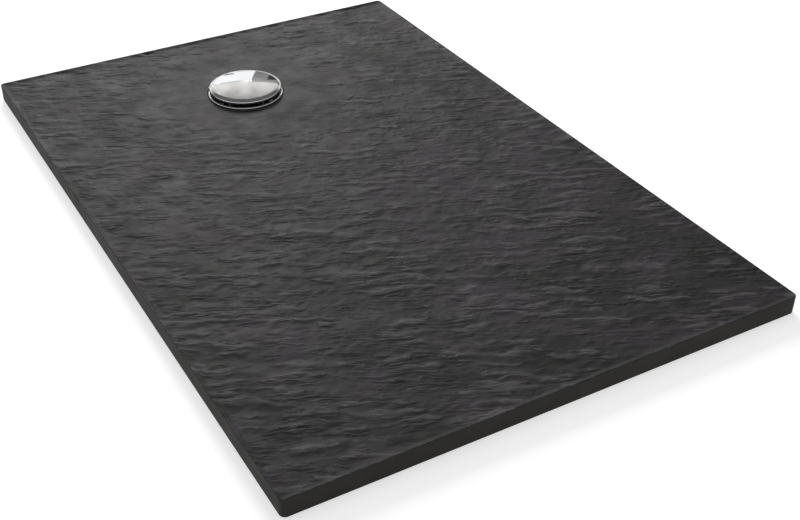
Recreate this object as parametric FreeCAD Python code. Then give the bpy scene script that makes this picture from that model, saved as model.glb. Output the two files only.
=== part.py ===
import FreeCAD, Part
import math
import os

# Shower tray: a cast stone slab with a 90 mm waste, its lift-out dip tube, strainer and
# cover, and the ball-jointed outlet below.  Millimetres.  The origin is the centre of the
# slab's underside, +Z is up and +Y runs along the length towards the waste.

# Slab
TRAY_LENGTH = 1200.0
TRAY_WIDTH = 800.0
TRAY_THICKNESS = 30.0
CORNER_RADIUS = 8.0
TOP_ARRIS = 1.0
BOTTOM_ARRIS = 1.5
LEVEL_BORDER = 5.0
FALL = 3.0
WASTE_X = -16.0
WASTE_TO_BACK_EDGE = 245.0
WASTE_HOLE_D = 90.0
LEVEL_PAD = 7.0
RECESS_DEPTH = 3.0
RECESS_CLEARANCE = 1.0
RECESS_ARRIS = 0.8
REBATE_DEPTH = 8.0
REBATE_CLEARANCE = 3.0

# Flange ring, its seal and its screws
FLANGE_D = 136.0
FLANGE_RISE = 2.6
FLANGE_BEVEL = 2.6
FLANGE_FOOT_STEP = 0.8
FLANGE_LAND = 13.0
FLANGE_WALL = 1.6
FLANGE_SKIRT_CLEARANCE = 1.4
THROAT_DEPTH = 14.6
LEDGE_THICKNESS = 3.0
FLANGE_SEAL_THICKNESS = 2.0
SEAL_SETBACK = 1.0
SCREW_COUNT = 4
SCREW_D = 4.0
SCREW_HEAD_D = 7.6
SCREW_LENGTH = 16.0
SCREW_HOLE_CLEARANCE = 0.3
SCREW_RECESS_WIDTH = 0.9
SCREW_RECESS_SPAN = 4.2
SCREW_RECESS_DEPTH = 1.3
THREAD_CLEARANCE = 0.05
INSERT_D = 6.0
INSERT_LENGTH = 10.0

# Trap body and its collar
COLLAR_D = 144.0
COLLAR_THICKNESS = 4.0
COLLAR_GASKET_THICKNESS = 3.0
UPSTAND_CLEARANCE = 2.0
CLAMP_GAP = 0.5
NECK_D = 62.0
NECK_WALL = 3.0
NECK_DROP = 4.0
TRAP_WALL = 3.0
CUP_TOP_D = 110.0
CUP_BOTTOM_D = 104.0
CUP_BOTTOM_RADIUS = 15.0
TRAP_DEPTH = 77.0
WATER_SEAL = 50.0
BOSS_WALL = 2.0
SCREW_TIP_ROOM = 1.0
GUSSET_COUNT = 12
GUSSET_THICKNESS = 2.2
GUSSET_DEPTH = 15.0
GUSSET_SETBACK = 3.0
GUSSET_TO_CHAMBER = 4.0
CHAMBER_HALF_WIDTH = 27.0
CHAMBER_REACH = 67.0

# Dip tube with its O-ring, and the strainer in it
NECK_CLEARANCE = 0.4
TUBE_RIM_LAP = 2.2
TUBE_RIM_THICKNESS = 2.0
TUBE_D = 49.0
TUBE_WALL = 2.0
TUBE_FLOOR_GAP = 8.0
O_RING_SECTION = 3.0
O_RING_CLEARANCE = 0.07
O_RING_DROP = 5.0
GROOVE_WIDTH = 3.6
STRAINER_D = 50.0
STRAINER_CLEARANCE = 0.4
STRAINER_WALL = 1.6
STRAINER_FLOOR = 2.0
STRAINER_DEPTH = 16.0
STRAINER_LIP = 4.0
STRAINER_LIP_THICKNESS = 1.6
STRAINER_FLOOR_GAP = 1.5
STRAINER_SLOT_COUNT = 16
STRAINER_SLOT_WIDTH = 3.0
STRAINER_SLOT_HEIGHT = 8.0
STRAINER_HOLE_D = 4.6
STRAINER_HOLE_WALL = 1.8
STRAINER_HOLE_RINGS = 2
POST_D = 13.0
POST_RISE = 7.0

# Cover: domed sheet, moulded carrier, stud and nut
COVER_D = 132.0
COVER_SHEET = 1.4
COVER_GAP = 5.8
COVER_SKIRT = 3.0
COVER_SKIRT_TAPER = 0.4
COVER_EDGE_RADIUS = 1.0
COVER_BAND = 9.0
COVER_BAND_DROP = 2.6
COVER_BAND_BULGE = 0.55
COVER_CAP_RISE = 3.0
COVER_BOSS_D = 12.0
COVER_BOSS_DROP = 6.5
COVER_TURN = 38.0
STUD_D = 6.0
STUD_BITE = 5.5
STUD_PLUG_DEPTH = 14.0
STUD_CLEARANCE = 0.3
STUD_TIP = 1.0
HUB_D = 20.0
HUB_THICKNESS = 5.0
RIB_COUNT = 6
RIB_THICKNESS = 2.4
RIB_DEPTH = 5.0
RIB_END_SETBACK = 4.5
RIB_CLEARANCE = 0.3
FOOT_LENGTH = 6.0
FOOT_WIDTH = 4.0
HOOP_WIDTH = 2.0
HOOP_HEIGHT = 2.6
NUT_ACROSS_FLATS = 10.0
NUT_THICKNESS = 5.0

# Ball-jointed outlet
BALL_R = 27.0
BALL_BORE_D = 35.0
BALL_CUT = 16.0
BALL_NECK_WALL = 2.0
BALL_CLEARANCE = 0.3
SEAT_DEPTH = 14.0
BALL_SEAL_WIDTH = 7.0
BALL_SEAL_D = 59.0
SOCKET_D = 66.0
SOCKET_MOUTH = 2.0
SEAT_CLEARANCE = 0.1
SLIDE_RING_START = 2.0
SLIDE_RING_END = 9.0
BALL_NUT_WALL = 2.9
BALL_NUT_LIP = 3.0
BALL_NUT_FLARE = 1.7
BALL_NUT_LENGTH = 21.0
OUTLET_HEADROOM = 4.0
NUT_RIB_COUNT = 12
NUT_RIB_WIDTH = 5.0
NUT_RIB_RISE = 1.0
PIPE_SOCKET_D = 40.5
PIPE_SOCKET_WALL = 5.6
PIPE_SHOULDER = 28.0
PIPE_SHOULDER_LENGTH = 6.0
PIPE_STOP = 36.0
PIPE_SOCKET_LENGTH = 26.0
PIPE_SEAT_LENGTH = 9.0
PIPE_SEAT_FLARE = 3.4
PIPE_SEAL_PROUD = 1.5
PIPE_SEAL_DEPTH = 6.0
SLIP_RING_THICKNESS = 1.6
PIPE_NUT_WALL = 3.4
PIPE_NUT_SKIRT = 22.0
PIPE_NUT_END = 3.6
PIPE_NUT_OPENING = 0.5

OVERCUT = 1.0

# Middle of a quarter round, as a share of its radius
ARC_SHARE = math.sqrt(0.5)

# Heights in the waste, from the slab's level pad down and from its underside up
LEVEL_Z = TRAY_THICKNESS - FALL
RECESS_Z = LEVEL_Z - RECESS_DEPTH
FLANGE_FOOT_Z = RECESS_Z + FLANGE_SEAL_THICKNESS
FLANGE_TOP_Z = LEVEL_Z + FLANGE_RISE
LEDGE_Z = FLANGE_TOP_Z - THROAT_DEPTH
LEDGE_BOTTOM_Z = LEDGE_Z - LEDGE_THICKNESS
UPSTAND_Z = LEDGE_BOTTOM_Z - CLAMP_GAP
COLLAR_TOP_Z = REBATE_DEPTH - COLLAR_GASKET_THICKNESS
COLLAR_BOTTOM_Z = COLLAR_TOP_Z - COLLAR_THICKNESS
CUP_FLOOR_Z = TRAP_WALL - TRAP_DEPTH
TUBE_BOTTOM_Z = CUP_FLOOR_Z + TUBE_FLOOR_GAP
WEIR_Z = TUBE_BOTTOM_Z + WATER_SEAL
TUBE_TOP_Z = LEDGE_Z + TUBE_RIM_THICKNESS
O_RING_Z = UPSTAND_Z - O_RING_DROP
NECK_BOTTOM_Z = COLLAR_BOTTOM_Z - NECK_DROP
STRAINER_BOTTOM_Z = TUBE_TOP_Z - STRAINER_DEPTH
POST_TOP_Z = TUBE_TOP_Z + POST_RISE
SCREW_TIP_Z = LEDGE_Z - SCREW_LENGTH
SKIRT_Z = FLANGE_TOP_Z + COVER_GAP
RIM_Z = SKIRT_Z + COVER_SKIRT
COVER_TOP_Z = RIM_Z + COVER_EDGE_RADIUS + COVER_BAND_DROP + COVER_CAP_RISE
BOSS_BOTTOM_Z = COVER_TOP_Z - COVER_SHEET - COVER_BOSS_DROP
STUD_TOP_Z = BOSS_BOTTOM_Z + STUD_BITE
STUD_BOTTOM_Z = POST_TOP_Z - STUD_PLUG_DEPTH
HUB_BOTTOM_Z = BOSS_BOTTOM_Z - HUB_THICKNESS
RIB_BOTTOM_Z = SKIRT_Z - (RIB_DEPTH - COVER_SKIRT)

# Radii round the waste axis
RECESS_R = FLANGE_D / 2 + RECESS_CLEARANCE
REBATE_R = COLLAR_D / 2 + REBATE_CLEARANCE
HOLE_R = WASTE_HOLE_D / 2
SKIRT_R = HOLE_R - FLANGE_SKIRT_CLEARANCE
THROAT_R = SKIRT_R - FLANGE_WALL
NECK_R = NECK_D / 2
TUBE_RIM_R = NECK_R + TUBE_RIM_LAP
SCREW_RING_R = (TUBE_RIM_R + THROAT_R) / 2
UPSTAND_R = HOLE_R - UPSTAND_CLEARANCE
STRAINER_R = STRAINER_D / 2
STRAINER_BORE_R = STRAINER_R + STRAINER_CLEARANCE
CUP_TOP_R = CUP_TOP_D / 2
CUP_BOTTOM_R = CUP_BOTTOM_D / 2
RIB_END_R = COVER_D / 2 - COVER_SHEET - RIB_END_SETBACK

# Places of the waste and of the outlet's ball
WASTE_Y = TRAY_LENGTH / 2 - WASTE_TO_BACK_EDGE
SEAT_R = BALL_SEAL_D / 2 + SEAT_CLEARANCE
BALL_NUT_BORE_R = SOCKET_D / 2 + SEAT_CLEARANCE
BALL_NUT_R = BALL_NUT_BORE_R + BALL_NUT_WALL
OUTLET_Z = -(OUTLET_HEADROOM + BALL_NUT_R + NUT_RIB_RISE)
BALL_Y = CHAMBER_REACH + SEAT_DEPTH
PIPE_SOCKET_R = PIPE_SOCKET_D / 2
PIPE_SOCKET_OUTER_R = PIPE_SOCKET_R + PIPE_SOCKET_WALL
PIPE_SEAT = PIPE_STOP + PIPE_SOCKET_LENGTH
PIPE_MOUTH = PIPE_SEAT + PIPE_SEAT_LENGTH

UP = FreeCAD.Vector(0, 0, 1)


def vector(x, y, z):
    return FreeCAD.Vector(x, y, z)


def outline(start, *steps):
    """Closed face in the XZ plane from (x, z) points.

    A step is the next point, or a pair (via, point) for an arc through via.
    """
    first = vector(start[0], 0, start[1])
    here = first
    edges = []
    for step in steps:
        if isinstance(step[0], tuple):
            via = vector(step[0][0], 0, step[0][1])
            there = vector(step[1][0], 0, step[1][1])
            edges.append(Part.Arc(here, via, there).toShape())
        else:
            there = vector(step[0], 0, step[1])
            edges.append(Part.makeLine(here, there))
        here = there
    if not here.isEqual(first, 1e-7):
        edges.append(Part.makeLine(here, first))
    return Part.Face(Part.Wire(edges))


def turned(start, *steps):
    """Solid of revolution about Z from an outline of (radius, height) points."""
    return outline(start, *steps).revolve(vector(0, 0, 0), UP, 360)


def ring(inner_r, outer_r, bottom_z, top_z):
    outer = Part.makeCylinder(outer_r, top_z - bottom_z, vector(0, 0, bottom_z))
    inner = Part.makeCylinder(inner_r, top_z - bottom_z, vector(0, 0, bottom_z))
    return outer.cut(inner)


def disc(radius, bottom_z, top_z, x=0.0, y=0.0):
    return Part.makeCylinder(radius, top_z - bottom_z, vector(x, y, bottom_z))


def block(x0, x1, y0, y1, z0, z1):
    return Part.makeBox(x1 - x0, y1 - y0, z1 - z0, vector(x0, y0, z0))


def around(shape, count, first_angle=0.0):
    """Copies of a shape, evenly spaced about Z."""
    copies = []
    for index in range(count):
        copy = shape.copy()
        copy.rotate(vector(0, 0, 0), UP, first_angle + index * 360.0 / count)
        copies.append(copy)
    return copies


def fused(shapes):
    return shapes[0].multiFuse(shapes[1:]).removeSplitter()


def arc_middle(radius, height, center_height):
    """Point half way along an arc about (0, center_height) from the axis to (radius, height)."""
    sweep = math.atan2(radius, height - center_height) / 2
    reach = math.hypot(radius, height - center_height)
    return (reach * math.sin(sweep), center_height + reach * math.cos(sweep))


def sphere_r(ball_radius, offset):
    """Radius of a ball where a plane cuts it at this offset from its centre."""
    return math.sqrt(ball_radius ** 2 - offset ** 2)


def at_waste(shape):
    shape.translate(vector(WASTE_X, WASTE_Y, 0))
    return shape


def at_outlet(shape):
    """Turn a shape made about Z so that it lies about the outlet's axis, +Y."""
    shape.rotate(vector(0, 0, 0), vector(1, 0, 0), -90)
    shape.translate(vector(0, BALL_Y, OUTLET_Z))
    return at_waste(shape)


def save(shape, node):
    solids = shape.Solids
    if not solids or not shape.isValid():
        raise ValueError(node + " is not a valid solid")
    shape.exportStep("parts/" + node + ".step")
    volume = sum(solid.Volume for solid in solids)
    print(node, len(solids), "solid(s)", round(volume / 1000, 2), "cm3")


# ---------------------------------------------------------------- slab


def slab_blank():
    blank = block(-TRAY_WIDTH / 2, TRAY_WIDTH / 2, -TRAY_LENGTH / 2, TRAY_LENGTH / 2,
                  0, TRAY_THICKNESS)
    upright = [e for e in blank.Edges if abs(e.tangentAt(e.FirstParameter).z) > 0.9]
    blank = blank.makeFillet(CORNER_RADIUS, upright)
    top = [e for e in blank.Edges if e.BoundBox.ZMin > TRAY_THICKNESS - 1e-6]
    blank = blank.makeFillet(TOP_ARRIS, top)
    bottom = [e for e in blank.Edges if e.BoundBox.ZMax < 1e-6]
    return blank.makeChamfer(BOTTOM_ARRIS, bottom)


def rectangle(x0, x1, y0, y1, z):
    corners = [vector(x0, y0, z), vector(x1, y0, z), vector(x1, y1, z), vector(x0, y1, z)]
    return Part.makePolygon(corners + corners[:1])


def fall_cutter():
    """Four plane falls from the level border down to a level pad round the waste."""
    half_x = TRAY_WIDTH / 2 - LEVEL_BORDER
    half_y = TRAY_LENGTH / 2 - LEVEL_BORDER
    pad = RECESS_R + LEVEL_PAD
    rim = rectangle(-half_x, half_x, -half_y, half_y, TRAY_THICKNESS)
    floor = rectangle(WASTE_X - pad, WASTE_X + pad, WASTE_Y - pad, WASTE_Y + pad, LEVEL_Z)
    return Part.makeLoft([rim, floor], True, True)


def waste_cutter():
    """Recess for the flange, the waste hole, and the underside's rebate for the collar."""
    return at_waste(turned(
        (0, -OVERCUT), (REBATE_R, -OVERCUT), (REBATE_R, REBATE_DEPTH),
        (HOLE_R, REBATE_DEPTH), (HOLE_R, RECESS_Z), (RECESS_R, RECESS_Z),
        (RECESS_R, LEVEL_Z - RECESS_ARRIS), (RECESS_R + RECESS_ARRIS, LEVEL_Z),
        (RECESS_R + RECESS_ARRIS, TRAY_THICKNESS), (0, TRAY_THICKNESS)))


def tray_slab():
    return slab_blank().cut(fall_cutter()).cut(waste_cutter())


# ---------------------------------------------------------------- flange and fixings


def flange_ring():
    outer_r = FLANGE_D / 2
    land_r = outer_r - FLANGE_BEVEL - FLANGE_LAND
    bevel_z = FLANGE_FOOT_Z + FLANGE_FOOT_STEP
    bevel_via = (outer_r - (1 - ARC_SHARE) * FLANGE_BEVEL,
                 bevel_z + ARC_SHARE * (FLANGE_TOP_Z - bevel_z))
    turn = FLANGE_WALL * ARC_SHARE
    turn_via = (SKIRT_R - turn, FLANGE_FOOT_Z + turn)
    body = turned(
        (outer_r, FLANGE_FOOT_Z), (outer_r, bevel_z),
        (bevel_via, (outer_r - FLANGE_BEVEL, FLANGE_TOP_Z)), (land_r, FLANGE_TOP_Z),
        (SKIRT_R, FLANGE_FOOT_Z + FLANGE_WALL), (turn_via, (THROAT_R, FLANGE_FOOT_Z)),
        (THROAT_R, LEDGE_Z), (NECK_R, LEDGE_Z),
        (NECK_R, LEDGE_BOTTOM_Z), (SKIRT_R, LEDGE_BOTTOM_Z), (SKIRT_R, FLANGE_FOOT_Z))
    hole_r = SCREW_D / 2 + SCREW_HOLE_CLEARANCE
    head_r = SCREW_HEAD_D / 2 + SCREW_HOLE_CLEARANCE
    hole = turned(
        (0, LEDGE_BOTTOM_Z - OVERCUT), (hole_r, LEDGE_BOTTOM_Z - OVERCUT),
        (hole_r, LEDGE_Z - (head_r - hole_r)), (head_r, LEDGE_Z),
        (head_r, LEDGE_Z + OVERCUT), (0, LEDGE_Z + OVERCUT))
    hole.translate(vector(SCREW_RING_R, 0, 0))
    return body.cut(around(hole, SCREW_COUNT, screw_angle()))


def screw_angle():
    return 180.0 / SCREW_COUNT


def flange_seal():
    return ring(HOLE_R + SEAL_SETBACK, FLANGE_D / 2 - SEAL_SETBACK, RECESS_Z, FLANGE_FOOT_Z)


def flange_screws():
    shank_r = SCREW_D / 2
    head_r = SCREW_HEAD_D / 2
    tip = shank_r / 2
    screw = turned(
        (0, SCREW_TIP_Z), (shank_r - tip, SCREW_TIP_Z), (shank_r, SCREW_TIP_Z + tip),
        (shank_r, LEDGE_Z - (head_r - shank_r)), (head_r, LEDGE_Z), (0, LEDGE_Z))
    half_width = SCREW_RECESS_WIDTH / 2
    half_span = SCREW_RECESS_SPAN / 2
    recess_z = LEDGE_Z - SCREW_RECESS_DEPTH
    slots = [block(-half_span, half_span, -half_width, half_width, recess_z, LEDGE_Z + OVERCUT),
             block(-half_width, half_width, -half_span, half_span, recess_z, LEDGE_Z + OVERCUT)]
    screw = screw.cut(slots)
    screw.translate(vector(SCREW_RING_R, 0, 0))
    return Part.makeCompound(around(screw, SCREW_COUNT, screw_angle()))


def screw_inserts():
    bore_r = SCREW_D / 2 + THREAD_CLEARANCE
    insert = ring(bore_r, INSERT_D / 2, UPSTAND_Z - INSERT_LENGTH, UPSTAND_Z)
    insert.translate(vector(SCREW_RING_R, 0, 0))
    return Part.makeCompound(around(insert, SCREW_COUNT, screw_angle()))


def collar_gasket():
    return ring(HOLE_R + SEAL_SETBACK, COLLAR_D / 2 - SEAL_SETBACK, COLLAR_TOP_Z, REBATE_DEPTH)


# ---------------------------------------------------------------- trap


def cup(wall, top_z):
    """The cup's outside at wall 0, or its cavity at the wall's thickness."""
    floor_z = wall - TRAP_DEPTH
    top_r = CUP_TOP_R - wall
    bottom_r = CUP_BOTTOM_R - wall
    round_r = CUP_BOTTOM_RADIUS - wall
    diagonal = round_r * ARC_SHARE
    via = (bottom_r - round_r + diagonal, floor_z + round_r - diagonal)
    return turned(
        (0, floor_z), (bottom_r - round_r, floor_z), (via, (bottom_r, floor_z + round_r)),
        (top_r, top_z), (0, top_z))


def chamber(wall, start_y, end_y):
    """Outlet chamber beside the cup: upright walls closed by a half round about the outlet."""
    half = CHAMBER_HALF_WIDTH - wall
    face = outline(
        (-half, COLLAR_BOTTOM_Z), (-half, OUTLET_Z),
        ((0, OUTLET_Z - half), (half, OUTLET_Z)), (half, COLLAR_BOTTOM_Z))
    face.translate(vector(0, start_y, 0))
    return face.extrude(vector(0, end_y - start_y, 0))


def ball_socket():
    """Round socket on the chamber's front, threaded outside, with the seal's seat inside."""
    start = CHAMBER_REACH - TRAP_WALL - (SOCKET_D / 2 - CHAMBER_HALF_WIDTH) - BALL_Y
    front = CHAMBER_REACH - TRAP_WALL - BALL_Y
    body = turned((0, start), (CHAMBER_HALF_WIDTH, start), (SOCKET_D / 2, front),
                  (SOCKET_D / 2, -SOCKET_MOUTH), (0, -SOCKET_MOUTH))
    body.rotate(vector(0, 0, 0), vector(1, 0, 0), -90)
    body.translate(vector(0, BALL_Y, OUTLET_Z))
    return body


def socket_bore():
    passage_r = sphere_r(BALL_R + BALL_CLEARANCE, SEAT_DEPTH)
    start = CHAMBER_REACH - TRAP_WALL - OVERCUT - BALL_Y
    bore = turned((0, start), (passage_r, start), (passage_r, -SEAT_DEPTH),
                  (SEAT_R, -SEAT_DEPTH), (SEAT_R, OVERCUT), (0, OVERCUT))
    bore.rotate(vector(0, 0, 0), vector(1, 0, 0), -90)
    bore.translate(vector(0, BALL_Y, OUTLET_Z))
    return bore


def gussets():
    """Webs under the collar, left out where the outlet chamber stands."""
    tip_r = COLLAR_D / 2 - GUSSET_SETBACK
    root_r = CUP_TOP_R - TRAP_WALL
    web = outline((root_r, COLLAR_BOTTOM_Z), (tip_r, COLLAR_BOTTOM_Z),
                  (CUP_TOP_R, COLLAR_BOTTOM_Z - GUSSET_DEPTH),
                  (root_r, COLLAR_BOTTOM_Z - GUSSET_DEPTH))
    web.translate(vector(0, -GUSSET_THICKNESS / 2, 0))
    web = web.extrude(vector(0, GUSSET_THICKNESS, 0))
    step = 360.0 / GUSSET_COUNT
    blocked = math.degrees(math.asin((CHAMBER_HALF_WIDTH + GUSSET_TO_CHAMBER) / CUP_TOP_R))
    webs = []
    for index in range(GUSSET_COUNT):
        angle = (index + 0.5) * step
        if abs(angle - 90) > blocked:
            copy = web.copy()
            copy.rotate(vector(0, 0, 0), UP, angle)
            webs.append(copy)
    return webs


def insert_bosses():
    boss_r = INSERT_D / 2 + BOSS_WALL
    boss = disc(boss_r, SCREW_TIP_Z - SCREW_TIP_ROOM - BOSS_WALL, UPSTAND_Z, SCREW_RING_R)
    return around(boss, SCREW_COUNT, screw_angle())


def insert_holes():
    insert_r = INSERT_D / 2 + THREAD_CLEARANCE
    tip_r = SCREW_D / 2 + THREAD_CLEARANCE
    hole = disc(insert_r, UPSTAND_Z - INSERT_LENGTH, UPSTAND_Z + OVERCUT, SCREW_RING_R)
    pilot = disc(tip_r, SCREW_TIP_Z - SCREW_TIP_ROOM, UPSTAND_Z, SCREW_RING_R)
    return around(fused([hole, pilot]), SCREW_COUNT, screw_angle())


def trap_body():
    """Cup and outlet chamber with the weir between them, open at the top as they are moulded."""
    outside = fused([cup(0, COLLAR_BOTTOM_Z), chamber(0, 0, CHAMBER_REACH), ball_socket()]
                    + gussets())
    room = chamber(TRAP_WALL, 0, CHAMBER_REACH - TRAP_WALL).cut(cup(0, COLLAR_BOTTOM_Z))
    cavity = cup(TRAP_WALL, COLLAR_BOTTOM_Z)
    window = block(TRAP_WALL - CHAMBER_HALF_WIDTH, CHAMBER_HALF_WIDTH - TRAP_WALL,
                   UPSTAND_R, CHAMBER_REACH - TRAP_WALL, WEIR_Z, COLLAR_BOTTOM_Z)
    return outside.cut([room, cavity, window, socket_bore()])


def trap_collar():
    """Collar welded on the body's rim, with the gasket's seat, the upstand and the neck."""
    outside = fused([
        disc(COLLAR_D / 2, COLLAR_BOTTOM_Z, COLLAR_TOP_Z),
        disc(UPSTAND_R, COLLAR_TOP_Z, UPSTAND_Z),
        disc(NECK_R + NECK_WALL, NECK_BOTTOM_Z, COLLAR_TOP_Z)] + insert_bosses())
    throat = disc(NECK_R, NECK_BOTTOM_Z - OVERCUT, UPSTAND_Z + OVERCUT)
    return outside.cut([throat] + insert_holes())


# ---------------------------------------------------------------- dip tube and strainer


def dip_tube():
    collar_r = NECK_R - NECK_CLEARANCE
    groove_r = NECK_R - O_RING_CLEARANCE - O_RING_SECTION
    groove_top = O_RING_Z + GROOVE_WIDTH / 2
    groove_bottom = O_RING_Z - GROOVE_WIDTH / 2
    tube_r = TUBE_D / 2
    bore_r = tube_r - TUBE_WALL
    step_z = STRAINER_BOTTOM_Z - STRAINER_FLOOR_GAP
    funnel_z = step_z - (STRAINER_BORE_R - bore_r)
    shoulder_z = min(NECK_BOTTOM_Z, step_z) - TUBE_WALL
    return turned(
        (STRAINER_BORE_R, TUBE_TOP_Z), (TUBE_RIM_R, TUBE_TOP_Z), (TUBE_RIM_R, LEDGE_Z),
        (collar_r, LEDGE_Z), (collar_r, groove_top), (groove_r, groove_top),
        (groove_r, groove_bottom), (collar_r, groove_bottom), (collar_r, shoulder_z),
        (tube_r, shoulder_z - (collar_r - tube_r)), (tube_r, TUBE_BOTTOM_Z),
        (bore_r, TUBE_BOTTOM_Z), (bore_r, funnel_z), (STRAINER_BORE_R, step_z))


def tube_o_ring():
    section_r = O_RING_SECTION / 2
    return Part.makeTorus(NECK_R - O_RING_CLEARANCE - section_r, section_r,
                          vector(0, 0, O_RING_Z))


def strainer_holes():
    """Rings of round holes in the basket's floor."""
    inner_r = POST_D / 2 + STRAINER_HOLE_WALL
    outer_r = STRAINER_R - STRAINER_WALL - STRAINER_HOLE_WALL
    pitch = (outer_r - inner_r) / STRAINER_HOLE_RINGS
    holes = []
    for index in range(STRAINER_HOLE_RINGS):
        ring_r = inner_r + (index + 0.5) * pitch
        count = int(2 * math.pi * ring_r / (STRAINER_HOLE_D + STRAINER_HOLE_WALL))
        hole = disc(min(STRAINER_HOLE_D, pitch - STRAINER_HOLE_WALL / 2) / 2,
                    STRAINER_BOTTOM_Z - OVERCUT,
                    STRAINER_BOTTOM_Z + STRAINER_FLOOR + OVERCUT, ring_r)
        holes += around(hole, count)
    return holes


def hair_strainer():
    inner_r = STRAINER_R - STRAINER_WALL
    floor_z = STRAINER_BOTTOM_Z + STRAINER_FLOOR
    lip_z = TUBE_TOP_Z + STRAINER_LIP_THICKNESS
    socket_r = STUD_D / 2 + STUD_CLEARANCE
    socket_z = STUD_BOTTOM_Z - STUD_TIP
    basket = turned(
        (0, STRAINER_BOTTOM_Z), (STRAINER_R, STRAINER_BOTTOM_Z), (STRAINER_R, TUBE_TOP_Z),
        (STRAINER_R + STRAINER_LIP, TUBE_TOP_Z), (STRAINER_R + STRAINER_LIP, lip_z),
        (inner_r, lip_z), (inner_r, floor_z), (POST_D / 2, floor_z),
        (POST_D / 2, POST_TOP_Z), (socket_r, POST_TOP_Z), (socket_r, socket_z),
        (0, socket_z))
    slot_z = floor_z + STRAINER_FLOOR
    slot = block(inner_r - OVERCUT, STRAINER_R + OVERCUT, -STRAINER_SLOT_WIDTH / 2,
                 STRAINER_SLOT_WIDTH / 2, slot_z, slot_z + STRAINER_SLOT_HEIGHT)
    return basket.cut(strainer_holes() + around(slot, STRAINER_SLOT_COUNT))


# ---------------------------------------------------------------- cover


def dome(offset):
    """Solid under the cover's outside, or under its inside at the sheet's thickness."""
    edge_r = COVER_D / 2 - offset
    rim_z = RIM_Z
    shoulder = (edge_r - COVER_EDGE_RADIUS, rim_z + COVER_EDGE_RADIUS - offset)
    edge_via = (edge_r - (1 - ARC_SHARE) * COVER_EDGE_RADIUS,
                rim_z + ARC_SHARE * COVER_EDGE_RADIUS - offset)
    cap_r = COVER_D / 2 - COVER_BAND
    cap_z = COVER_TOP_Z - COVER_CAP_RISE - offset
    band_via = ((cap_r + shoulder[0]) / 2, (cap_z + shoulder[1]) / 2 + COVER_BAND_BULGE)
    top_z = COVER_TOP_Z - offset
    cap_radius = (cap_r ** 2 + COVER_CAP_RISE ** 2) / (2 * COVER_CAP_RISE)
    cap_via = arc_middle(cap_r, cap_z, top_z - cap_radius)
    return turned(
        (0, SKIRT_Z), (edge_r - COVER_SKIRT_TAPER, SKIRT_Z), (edge_r, rim_z - offset),
        (edge_via, shoulder), (band_via, (cap_r, cap_z)), (cap_via, (0, top_z)))


def cover_dome():
    """Domed sheet with a steeper outer band, and the soldered boss for its stud."""
    shell = dome(0).cut(dome(COVER_SHEET))
    boss = disc(COVER_BOSS_D / 2, BOSS_BOTTOM_Z, COVER_TOP_Z - COVER_SHEET / 2)
    bore = disc(STUD_D / 2 + THREAD_CLEARANCE, BOSS_BOTTOM_Z - OVERCUT, STUD_TOP_Z)
    shape = fused([shell, boss]).cut(bore)
    shape.rotate(vector(0, 0, 0), UP, COVER_TURN)
    return shape


def cover_stud():
    radius = STUD_D / 2
    return turned(
        (0, STUD_BOTTOM_Z), (radius - STUD_TIP, STUD_BOTTOM_Z),
        (radius, STUD_BOTTOM_Z + STUD_TIP), (radius, STUD_TOP_Z), (0, STUD_TOP_Z))


def cover_carrier():
    """Moulded spider: hub, ribs up to the dome, a hoop, and feet that stand on the flange."""
    foot_r = RIB_END_R - FOOT_LENGTH
    rib = block(0, RIB_END_R, -RIB_THICKNESS / 2, RIB_THICKNESS / 2, RIB_BOTTOM_Z, COVER_TOP_Z)
    foot = block(foot_r, RIB_END_R, -FOOT_WIDTH / 2, FOOT_WIDTH / 2, FLANGE_TOP_Z, RIM_Z)
    hoop = ring(RIB_END_R - HOOP_WIDTH, RIB_END_R, SKIRT_Z, SKIRT_Z + HOOP_HEIGHT)
    arms = around(rib, RIB_COUNT) + around(foot, RIB_COUNT)
    spider = fused(arms + [hoop])
    under_dome = dome(COVER_SHEET + RIB_CLEARANCE)
    below = disc(COVER_D / 2, FLANGE_TOP_Z, SKIRT_Z)
    spider = spider.common(fused([under_dome, below]))
    clear_r = COVER_BOSS_D / 2 + RIB_CLEARANCE
    spider = spider.cut(disc(clear_r, FLANGE_TOP_Z, COVER_TOP_Z))
    hub = disc(HUB_D / 2, HUB_BOTTOM_Z, BOSS_BOTTOM_Z)
    bore = disc(STUD_D / 2 + STUD_CLEARANCE, HUB_BOTTOM_Z - OVERCUT, BOSS_BOTTOM_Z + OVERCUT)
    shape = fused([spider, hub]).cut(bore)
    shape.rotate(vector(0, 0, 0), UP, COVER_TURN)
    return shape


def carrier_nut():
    corner_r = NUT_ACROSS_FLATS / math.sqrt(3)
    bottom_z = HUB_BOTTOM_Z - NUT_THICKNESS
    corners = []
    for index in range(7):
        angle = math.radians(60 * index)
        corners.append(vector(corner_r * math.cos(angle), corner_r * math.sin(angle), bottom_z))
    prism = Part.Face(Part.makePolygon(corners)).extrude(vector(0, 0, NUT_THICKNESS))
    bore = disc(STUD_D / 2 + THREAD_CLEARANCE, bottom_z - OVERCUT, HUB_BOTTOM_Z + OVERCUT)
    return prism.cut(bore)


# ---------------------------------------------------------------- outlet, made about Z


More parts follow.
